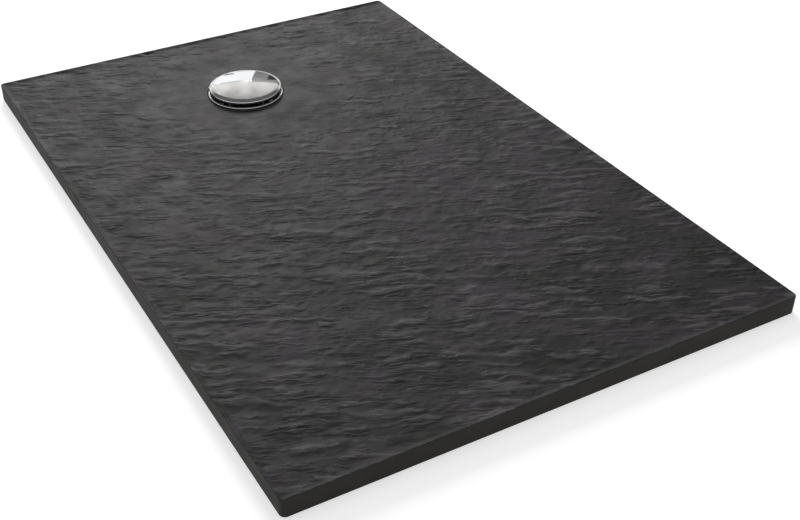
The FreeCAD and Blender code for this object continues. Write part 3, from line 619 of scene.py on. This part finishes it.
def long_steps(tree, laid, pitch, seed):
    """Long torn steps, moulded in the mesh and sharpened in the coat's bump."""
    return torn_field(tree, laid, pitch, seed, shares=(2.0, 2.2), spread=2.6,
                      limits=(0.44, 0.60, 0.04, 1.0))


def short_steps(tree, laid, pitch, seed):
    """Short torn steps, too fine for the mesh."""
    return torn_field(tree, laid, pitch, seed, shares=(2.1, 2.4), spread=2.4,
                      limits=(0.44, 0.62, 0.0, 1.0))


def apply_nodes(piece, group, values):
    """Run a geometry tree with named inputs on a piece, and keep only the mesh it makes."""
    modifier = piece.modifiers.new(group.name, "NODES")
    modifier.node_group = group
    identifiers = {item.name: item.identifier for item in group.interface.items_tree
                   if item.item_type == "SOCKET" and item.in_out == "INPUT"}
    for label, value in values.items():
        modifier[identifiers[label]] = value
    bpy.context.view_layer.update()
    depsgraph = bpy.context.evaluated_depsgraph_get()
    mesh = bpy.data.meshes.new_from_object(piece.evaluated_get(depsgraph), depsgraph=depsgraph)
    piece.modifiers.remove(modifier)
    old = piece.data
    piece.data = mesh
    mesh.name = piece.name
    bpy.data.meshes.remove(old)


class SHOWER_OT_slab(bpy.types.Operator):
    """Cast the slab with its falls, and mould the cleft relief into its top"""

    bl_idname = "shower.slab"
    bl_label = "Stone slab"

    def execute(self, context):
        sizes = context.scene.shower_slab
        piece = slab_blank(sizes)
        coat = gel_coat(context.scene.shower_finishes, sizes)
        values = {"Depth": sizes.relief_depth, "Wrinkle size": sizes.wrinkle,
                  "Warp": sizes.warp, "Step pitch": sizes.step_pitch,
                  "Step height": sizes.step_height, "Lay": sizes.lay,
                  "Stretch": sizes.stretch, "Seed": sizes.seed}
        apply_nodes(piece, cleft_tree(values), {**values, "Material": coat})
        piece.data.shade_smooth()
        piece.data.set_sharp_from_angle(angle=SLAB_CREASE)
        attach(piece, "tray")
        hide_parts("tray_slab")
        return {"FINISHED"}


# ---------------- cover


OUTSIDE_FACETS = 32  # facets of the cap's section outside; the band has half as many
INSIDE_FACETS = 12  # the same inside
STUD_FIT = 1.02  # bore of the boss, to the stud
COVER_CREASE = math.radians(42)


def cover_profile(sizes):
    """Section of the dome, its skirt, its underside and the stud's boss, from the axis round."""
    edge_r = node_radius("cover_dome")
    skirt_z = COVER_LOW.z
    rim_z = skirt_z + sizes.skirt
    top_z = COVER_HIGH.z

    def shell(offset, count):
        """Section of the sheet's side that lies offset below its outside."""
        outer_r = edge_r - offset
        cap_r = edge_r - sizes.band
        cap_z = top_z - sizes.cap_rise - offset
        round_r = sizes.edge_radius
        lean = sizes.skirt_lean
        leaning = sizes.skirt - sizes.lip - offset + round_r * math.sin(lean)
        round_x = outer_r - round_r * math.cos(lean) - leaning * math.tan(lean)
        shoulder = (round_x, rim_z + round_r - offset)
        radius = (cap_r ** 2 + sizes.cap_rise ** 2) / (2 * sizes.cap_rise)
        half = math.asin(cap_r / radius) / 2
        via = (radius * math.sin(half), top_z - offset - radius * (1 - math.cos(half)))
        band_via = ((cap_r + shoulder[0]) / 2,
                    (cap_z + shoulder[1]) / 2 + sizes.band_bulge)
        middle = (RIGHT_ANGLE + lean) / 2
        edge_via = (round_x + round_r * math.cos(middle),
                    rim_z - offset + round_r * math.sin(middle))
        edge_foot = (round_x + round_r * math.cos(lean), skirt_z + sizes.lip + leaning)
        points = [(0.0, top_z - offset)]
        points += arc_points(points[0], via, (cap_r, cap_z), count)
        points += arc_points(points[-1], band_via, shoulder, count // 2)
        points += arc_points(shoulder, edge_via, edge_foot, count // 4)
        points += [(outer_r, skirt_z + sizes.lip), (outer_r - sizes.lip_taper, skirt_z)]
        return points

    outside = shell(0.0, OUTSIDE_FACETS)
    inside = shell(sizes.sheet, INSIDE_FACETS)
    under = [p for p in inside if p[0] > sizes.boss_radius]
    boss_z = top_z - sizes.sheet - sizes.boss_drop
    bore = node_radius("cover_stud") * STUD_FIT
    sheet_z = inside[0][1]
    boss = [(sizes.boss_radius, sheet_z), (sizes.boss_radius, boss_z), (bore, boss_z),
            (bore, STUD_TOP), (0.0, STUD_TOP)]
    return outside + under[::-1] + boss


class SHOWER_OT_cover(bpy.types.Operator):
    """Spin the chrome dome that lies over the waste"""

    bl_idname = "shower.cover"
    bl_label = "Chrome cover"

    def execute(self, context):
        sizes = context.scene.shower_cover
        piece = lathe("chrome_cover", cover_profile(sizes), WASTE, sizes.segments,
                      COVER_CREASE)
        piece.data.materials.append(chrome(context.scene.shower_finishes))
        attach(piece, "cover")
        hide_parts("cover_dome")
        return {"FINISHED"}


# ---------------- materials


SHORT_PITCH = 0.42  # pitch of the short steps, to that of the long ones
SHORT_WEIGHT = 0.42  # short steps, in the crests' painted highlight and in the bump
LINE_WEIGHT = 0.60  # long steps in the crests' painted highlight
LONG_WEIGHT = 0.28  # long steps in the bump
BROAD_WEIGHT = 0.10  # wrinkles in the bump
GRAIN_WEIGHT = 0.012  # grain in the bump
BROAD_SIZE = 0.36  # size of the bump's wrinkles, to those of the mesh
BROAD_SEED = 9.0  # how far the bump's wrinkles lie from those of the mesh
COAT_BUMP = 0.0027  # metres
COAT_SPECULAR = 0.12
COAT_ROUGHNESS = 0.54, 0.68
COAT_CALM = 0.35  # share of crests and bump that stays round the waste
CLOUD_SIZE = 0.11  # metres
CLOUD_SPAN = 0.38, 0.62  # noise, from the dark cloud to the light one
SHEEN_SIZE = 0.05  # metres
CREST_HIGHLIGHT_SPAN = 0.34, 0.62, 0.0, 0.80  # height of the crests, and how far the painted highlight lightens them
TOP_SLOPE = 0.45, 0.85  # height of the normal, from the sides to the top
UNDER_SLOPE = -0.6, -0.9  # the same, from the sides to the bare casting
NOISE_SPAN = 0.3, 0.7  # where nearly all of a noise lies
HAZE = 0.02, 0.06  # roughness of the polished plate
MOULDED_SWING = 0.04, 0.05  # how far a moulding's roughness goes down and up
ROUGHNESS_SWING = 0.04  # the same for turned metal, both ways
RING_SCALE = 900.0  # turning marks
RING_SHADE = 0.94, 1.04  # darkest and lightest of them


def new_material(name):
    """Principled material with its tree helper, shader and object coordinates."""
    material = bpy.data.materials.new(name)
    material.use_nodes = True
    tree = Tree(material.node_tree)
    shader = material.node_tree.nodes["Principled BSDF"]
    position = tree.node("ShaderNodeTexCoord").outputs["Object"]
    return material, tree, shader, position


def rgba(color):
    """Opaque colour for a colour socket."""
    return (*color, 1.0)


def mottle_group():
    """Slow drift of a colour and its mask, as every cast, moulded or plated finish has."""
    group = bpy.data.node_groups.get("mottle")
    if group is None:
        group, tree, given, result = new_group(
            "mottle", "ShaderNodeTree",
            {"Vector": "Vector", "Color": "Color", "Size": 0.03, "Spread": 0.08},
            {"Color": "Color", "Mask": "Float"})
        drift = scaled_noise(tree, given["Vector"], given["Size"], 1.0, detail=3.0,
                             roughness=0.6).outputs[0]
        mask = tree.remap(drift, *NOISE_SPAN)
        swing = tree.math("MULTIPLY", tree.math("SUBTRACT", mask, 0.5), 2.0)
        shade = tree.math("MULTIPLY_ADD", swing, given["Spread"], 1.0)
        tree.feed(result["Color"], tree.vector("SCALE", given["Color"], scale=shade))
        tree.feed(result["Mask"], mask)
    return group


def grain_group():
    """Fine grain for a Bump node, of a size and finer."""
    group = bpy.data.node_groups.get("fine_grain")
    if group is None:
        group, tree, given, result = new_group(
            "fine_grain", "ShaderNodeTree", {"Vector": "Vector", "Size": 0.0006},
            {"Height": "Float"})
        grain = scaled_noise(tree, given["Vector"], given["Size"], 1.0, detail=2.0)
        tree.feed(result["Height"], grain.outputs[0])
    return group


def gel_coat(colors, sizes):
    """Matt cast coat: clouds of two greys, a painted highlight on the crests, and the finest relief
    in its bump.
    """
    material, tree, shader, position = new_material("gel_coat")
    away = tree.vector("SUBTRACT", position, (WASTE.x, WASTE.y, SLAB_HIGH.z))
    distance = tree.node("ShaderNodeVectorMath", {"operation": "LENGTH"})
    tree.feed(distance.inputs[0], away)
    calm = tree.remap(distance.outputs["Value"], sizes.calm_inner, sizes.calm_outer,
                      COAT_CALM, 1.0, smooth=True)
    normal = tree.node("ShaderNodeNewGeometry").outputs["Normal"]
    upward = tree.node("ShaderNodeSeparateXYZ", Vector=normal).outputs["Z"]
    level = tree.remap(upward, *TOP_SLOPE, smooth=True)
    strength = tree.math("MULTIPLY", calm, level)
    laid = along_lay(tree, position, sizes.lay, sizes.stretch)
    longer = long_steps(tree, laid, sizes.step_pitch, sizes.seed)
    shorter = short_steps(tree, laid, sizes.step_pitch * SHORT_PITCH, sizes.seed)
    shorter = tree.math("MULTIPLY", shorter, SHORT_WEIGHT)
    lines = tree.math("MULTIPLY_ADD", longer, LINE_WEIGHT, shorter)
    clouds = tree.noise(position, CLOUD_SIZE, detail=4.0, roughness=0.62).outputs[0]
    clouds = tree.remap(clouds, *CLOUD_SPAN, smooth=True)
    top = tree.mix(clouds, rgba(colors.gel_dark), rgba(colors.gel_light))
    # Painted highlight: the crests of the torn steps are lightened towards the crest colour.
    painted_highlight = tree.remap(tree.math("MULTIPLY", lines, strength), *CREST_HIGHLIGHT_SPAN)
    top = tree.mix(painted_highlight, top, rgba(colors.gel_painted_highlight))
    color = tree.mix(level, rgba(colors.gel_edge), top)
    below = tree.remap(upward, *UNDER_SLOPE, smooth=True)
    color = tree.mix(below, color, rgba(colors.cast))
    speckle = tree.place(mottle_group(), Vector=position, Color=color, Size=0.0016, Spread=0.10)
    tree.feed(shader.inputs["Base Color"], speckle.outputs["Color"])
    sheen = tree.noise(position, SHEEN_SIZE, detail=5.0, roughness=0.6).outputs[0]
    tree.feed(shader.inputs["Roughness"], tree.remap(sheen, *NOISE_SPAN, *COAT_ROUGHNESS))
    shader.inputs["Specular IOR Level"].default_value = COAT_SPECULAR
    broad = cleft_height(tree, laid, sizes.wrinkle * BROAD_SIZE, sizes.warp * BROAD_SIZE,
                         sizes.seed + BROAD_SEED)
    relief = tree.math("MULTIPLY_ADD", longer, LONG_WEIGHT, shorter)
    relief = tree.math("MULTIPLY_ADD", broad, BROAD_WEIGHT, relief)
    relief = tree.math("MULTIPLY", relief, strength)
    grain = tree.place(grain_group(), Vector=position, Size=0.0007).outputs["Height"]
    height = tree.math("MULTIPLY_ADD", grain, GRAIN_WEIGHT, relief)
    bump = tree.node("ShaderNodeBump", Strength=1.0, Distance=COAT_BUMP, Height=height)
    tree.feed(shader.inputs["Normal"], bump.outputs[0])
    return material


def chrome(colors):
    """Polished plate with a faint wipe of haze, made once for the cover and the flange."""
    made = bpy.data.materials.get("chrome_plate")
    if made is None:
        made, tree, shader, position = new_material("chrome_plate")
        shader.inputs["Metallic"].default_value = 1.0
        haze = tree.place(mottle_group(), Vector=position, Color=rgba(colors.chrome),
                          Size=0.025, Spread=0.02)
        tree.feed(shader.inputs["Base Color"], haze.outputs["Color"])
        tree.feed(shader.inputs["Roughness"],
                  tree.remap(haze.outputs["Mask"], 0.0, 1.0, *HAZE))
    return made


def moulded(name, color, roughness, grain_depth):
    """Moulded plastic or rubber: slight mottle and a fine spark-eroded grain."""
    material, tree, shader, position = new_material(name)
    mottle = tree.place(mottle_group(), Vector=position, Color=rgba(color), Size=0.03,
                        Spread=0.08)
    tree.feed(shader.inputs["Base Color"], mottle.outputs["Color"])
    smoother, rougher = MOULDED_SWING
    tree.feed(shader.inputs["Roughness"], tree.remap(
        mottle.outputs["Mask"], 0.0, 1.0, roughness - smoother, roughness + rougher))
    grain = tree.place(grain_group(), Vector=position, Size=0.0006).outputs["Height"]
    bump = tree.node("ShaderNodeBump", Strength=0.6, Distance=grain_depth, Height=grain)
    tree.feed(shader.inputs["Normal"], bump.outputs[0])
    return material


def turned_metal(name, color, roughness):
    """Machined metal with fine rings round the waste axis."""
    material, tree, shader, position = new_material(name)
    shader.inputs["Metallic"].default_value = 1.0
    rings = tree.node("ShaderNodeTexWave", {"wave_type": "RINGS", "rings_direction": "Z"},
                      Vector=tree.vector("SUBTRACT", position, (WASTE.x, WASTE.y, 0.0)),
                      Scale=RING_SCALE, Distortion=1.5, Detail=2.0).outputs[1]
    shade = tree.remap(rings, 0.0, 1.0, *RING_SHADE)
    tree.feed(shader.inputs["Base Color"], tree.vector("SCALE", tuple(color), scale=shade))
    tree.feed(shader.inputs["Roughness"], tree.remap(
        rings, 0.0, 1.0, roughness - ROUGHNESS_SWING, roughness + ROUGHNESS_SWING))
    return material


# Material, its colour, roughness and depth of grain in metres, and its nodes.
MOULDINGS = (
    ("seal_rubber", "rubber", 0.72, 0.00004,
     ("flange_seal", "collar_gasket", "tube_o_ring", "ball_seal", "pipe_seal")),
    ("trap_plastic", "trap", 0.42, 0.00006,
     ("trap_body", "trap_collar", "ball_nut", "pipe_nut")),
    ("insert_plastic", "tube", 0.38, 0.00004, ("dip_tube", "hair_strainer")),
    ("carrier_plastic", "carrier", 0.40, 0.00004, ("cover_carrier",)),
    ("outlet_plastic", "outlet", 0.35, 0.00004,
     ("outlet_ball_tube", "ball_slide_ring", "slip_ring")))

# Material, its colour and roughness, and its nodes.
METALS = (
    ("stainless_steel", "steel", 0.28, ("flange_screws", "cover_stud")),
    ("plain_brass", "brass", 0.30, ("screw_inserts", "carrier_nut")))


def paint(material, nodes):
    """Put a material on nodes that keep their own solids."""
    for node in nodes:
        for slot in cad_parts[node].material_slots:
            slot.material = material


class SHOWER_OT_fittings(bpy.types.Operator):
    """Paint the fittings that keep their own solids"""

    bl_idname = "shower.fittings"
    bl_label = "Waste fittings"

    def execute(self, context):
        colors = context.scene.shower_finishes
        paint(chrome(colors), ("flange_ring",))
        for name, color, roughness, grain_depth, nodes in MOULDINGS:
            paint(moulded(name, getattr(colors, color), roughness, grain_depth), nodes)
        for name, color, roughness, nodes in METALS:
            paint(turned_metal(name, getattr(colors, color), roughness), nodes)
        return {"FINISHED"}


# ---------------- stage


SENSOR_WIDTH = 36.0  # mm
FLOOR_LIFT = 0.60  # glow that whitens the floor where it is looked at
AMBIENT = 0.30  # strength of the world's light on things

# Name, place, target, size, watts, and whether polished plate mirrors it.
LAMPS = (
    ("lamp_back", (1.5, 4.8, 3.1), (0.0, 0.1, 0.0), 1.8, 205.0, True),
    ("lamp_over", (0.0, 0.3, 3.2), (0.0, 0.0, 0.0), 2.4, 18.0, False))

# Name, azimuth and elevation in degrees, distance, width and height in metres, colour, and
# strength at its foot and its head.
PANELS = (
    ("panel_ceiling", 0, 35.3, 3.0, 4.0, 1.13, (1.0, 0.97, 0.93), (0.72, 0.10)),
    ("panel_over", 0, 86.0, 3.3, 10.0, 9.8, (1.0, 1.0, 1.0), (0.12, 0.12)),
    ("panel_front", 180, 17.0, 3.0, 9.0, 1.9, (1.0, 1.0, 1.0), (0.70, 0.12)),
    ("panel_left", -100, 17.0, 3.0, 6.5, 1.9, (1.0, 1.0, 1.0), (0.70, 0.12)),
    ("panel_right", 100, 17.0, 3.0, 6.5, 1.9, (1.0, 1.0, 1.0), (0.60, 0.10)),
    ("panel_lintel", -4.7, 24.3, 2.8, 0.72, 0.035, (0.4, 0.4, 0.4), (1.0, 1.0)),
    ("panel_window", -4.7, 19.2, 3.2, 0.82, 0.525, (0.98, 0.99, 1.0), (1.12, 1.12)),
    ("panel_wall", 14.0, 20.0, 2.9, 1.15, 0.62, (1.0, 0.98, 0.96), (0.22, 0.30)),
    ("panel_dark", 7.6, 20.5, 2.8, 0.16, 0.26, (0.05, 0.05, 0.05), (1.0, 1.0)),
    ("panel_sill", -4.0, 16.2, 2.8, 0.15, 0.05, (0.03, 0.03, 0.03), (1.0, 1.0)))


def seen_directly(tree):
    """1 for camera, glossy and transmission rays, 0 for the light that falls on things."""
    path = tree.node("ShaderNodeLightPath")
    rays = tree.math("MAXIMUM", path.outputs["Is Camera Ray"], path.outputs["Is Glossy Ray"])
    return tree.math("MAXIMUM", rays, path.outputs["Is Transmission Ray"])


def stage_material(name):
    """Material without nodes, and its tree helper."""
    material = bpy.data.materials.new(name)
    material.use_nodes = True
    material.node_tree.nodes.clear()
    return material, Tree(material.node_tree)


def floor_material(color):
    """Pale diffuse floor, lifted to white where it is looked at, and open from below."""
    material, tree = stage_material("pale_floor")
    diffuse = tree.node("ShaderNodeBsdfDiffuse", Color=rgba(color))
    lift = tree.math("MULTIPLY", seen_directly(tree), FLOOR_LIFT)
    glow = tree.node("ShaderNodeEmission", Strength=lift)
    lit = tree.node("ShaderNodeAddShader")
    tree.feed(lit.inputs[0], diffuse.outputs[0])
    tree.feed(lit.inputs[1], glow.outputs[0])
    clear = tree.node("ShaderNodeBsdfTransparent")
    sided = tree.node("ShaderNodeMixShader")
    tree.feed(sided.inputs[0], tree.node("ShaderNodeNewGeometry").outputs["Backfacing"])
    tree.feed(sided.inputs[1], lit.outputs[0])
    tree.feed(sided.inputs[2], clear.outputs[0])
    tree.node("ShaderNodeOutputMaterial", Surface=sided.outputs[0])
    return material


def make_floor(settings):
    """Square floor at the slab's underside, with a pit for the trap hidden under the slab."""
    half = settings.floor_size / 2
    pit = settings.pit / 2
    outer = [(-half, -half), (half, -half), (half, half), (-half, half)]
    inner = [(WASTE.x + sx * pit, WASTE.y + sy * pit)
             for sx, sy in ((-1, -1), (1, -1), (1, 1), (-1, 1))]
    vertices = [(x, y, SLAB_LOW.z) for x, y in outer + inner]
    faces = [(k, (k + 1) % 4, 4 + (k + 1) % 4, 4 + k) for k in range(4)]
    floor = new_object("floor", vertices, faces)
    floor.data.materials.append(floor_material(settings.floor_color))


def make_world():
    """Soft ambient light, and a pale backdrop where the background itself is seen."""
    world = bpy.data.worlds.new("studio")
    bpy.context.scene.world = world
    world.use_nodes = True
    world.node_tree.nodes.clear()
    tree = Tree(world.node_tree)
    strength = tree.remap(seen_directly(tree), 0.0, 1.0, AMBIENT, 1.0)
    background = tree.node("ShaderNodeBackground", Strength=strength)
    tree.node("ShaderNodeOutputWorld", Surface=background.outputs[0])


def make_lamp(name, location, target, size, power, mirrored):
    """Square soft lamp aimed at a point."""
    lamp = bpy.data.lights.new(name, "AREA")
    lamp.size = size
    lamp.energy = power
    made = bpy.data.objects.new(name, lamp)
    bpy.context.scene.collection.objects.link(made)
    made.location = location
    aim = Vector(target) - Vector(location)
    made.rotation_mode = "QUATERNION"
    made.rotation_quaternion = aim.to_track_quat("-Z", "Y")
    made.visible_glossy = mirrored


def make_panel(name, azimuth, elevation, distance, width, height, color, strengths):
    """Panel seen only in reflections; its azimuth is from the view's far direction."""
    settings = bpy.context.scene.shower_stage
    toward = math.atan2(WASTE.x - settings.camera_x, WASTE.y - settings.camera_y)
    turn = toward + math.radians(azimuth)
    rise = math.radians(elevation)
    ahead = Vector((math.sin(turn) * math.cos(rise), math.cos(turn) * math.cos(rise),
                    math.sin(rise)))
    right = Vector((math.cos(turn), -math.sin(turn), 0.0))
    up = right.cross(ahead)
    center = WASTE + ahead * distance
    corners = [center + right * sx * width / 2 + up * sy * height / 2
               for sx, sy in ((-1, -1), (1, -1), (1, 1), (-1, 1))]
    panel = new_object(name, corners, [(0, 1, 2, 3)])
    material, tree = stage_material(name)
    place = tree.node("ShaderNodeNewGeometry").outputs["Position"]
    climb = tree.node("ShaderNodeSeparateXYZ", Vector=place).outputs["Z"]
    strength = tree.remap(climb, corners[0].z, corners[2].z, *strengths, smooth=True)
    glow = tree.node("ShaderNodeEmission", Color=rgba(color), Strength=strength)
    tree.node("ShaderNodeOutputMaterial", Surface=glow.outputs[0])
    panel.data.materials.append(material)
    for flag in ("visible_camera", "visible_diffuse", "visible_transmission",
                 "visible_volume_scatter", "visible_shadow"):
        setattr(panel, flag, False)


def make_camera(settings):
    """Camera at the photograph's viewing angle."""
    data = bpy.data.cameras.new("photo_camera")
    data.lens = settings.lens
    data.sensor_width = SENSOR_WIDTH
    data.shift_x = settings.shift_x
    camera = bpy.data.objects.new("photo_camera", data)
    bpy.context.scene.collection.objects.link(camera)
    camera.location = (settings.camera_x, settings.camera_y, settings.camera_z)
    camera.rotation_euler = (RIGHT_ANGLE - settings.camera_pitch, 0.0, -settings.camera_yaw)
    bpy.context.scene.camera = camera


class SHOWER_OT_stage(bpy.types.Operator):
    """Set the camera, the floor, the lamps and the panels that the chrome reflects"""

    bl_idname = "shower.stage"
    bl_label = "Stage"

    def execute(self, context):
        settings = context.scene.shower_stage
        context.scene.view_settings.view_transform = "Standard"
        make_camera(settings)
        make_floor(settings)
        make_world()
        for lamp in LAMPS:
            make_lamp(*lamp)
        for panel in PANELS:
            make_panel(*panel)
        return {"FINISHED"}


# ---------------- add-on


STEPS = (SHOWER_OT_slab, SHOWER_OT_cover, SHOWER_OT_fittings, SHOWER_OT_stage)


class SHOWER_PT_panel(bpy.types.Panel):
    """The steps that dress the tray"""

    bl_idname = "SHOWER_PT_panel"
    bl_label = "Shower tray"
    bl_space_type = "VIEW_3D"
    bl_region_type = "UI"
    bl_category = "Shower tray"

    def draw(self, context):
        for step in STEPS:
            self.layout.operator(step.bl_idname)


GROUPS = {"shower_slab": SlabSizes, "shower_cover": CoverSizes,
          "shower_finishes": Finishes, "shower_stage": StageSettings}


def register():
    """Make the settings, the steps and the panel known to Blender."""
    for kind in (*GROUPS.values(), *STEPS, SHOWER_PT_panel):
        bpy.utils.register_class(kind)
    for name, kind in GROUPS.items():
        setattr(bpy.types.Scene, name, bpy.props.PointerProperty(type=kind))


def unregister():
    """Undo register."""
    for name in GROUPS:
        delattr(bpy.types.Scene, name)
    for kind in (SHOWER_PT_panel, *reversed(STEPS), *reversed(GROUPS.values())):
        bpy.utils.unregister_class(kind)


def main():
    """Run the steps in order."""
    register()
    for step in STEPS:
        prefix, name = step.bl_idname.split(".")
        getattr(getattr(bpy.ops, prefix), name)()


if __name__ == "__main__":
    main()
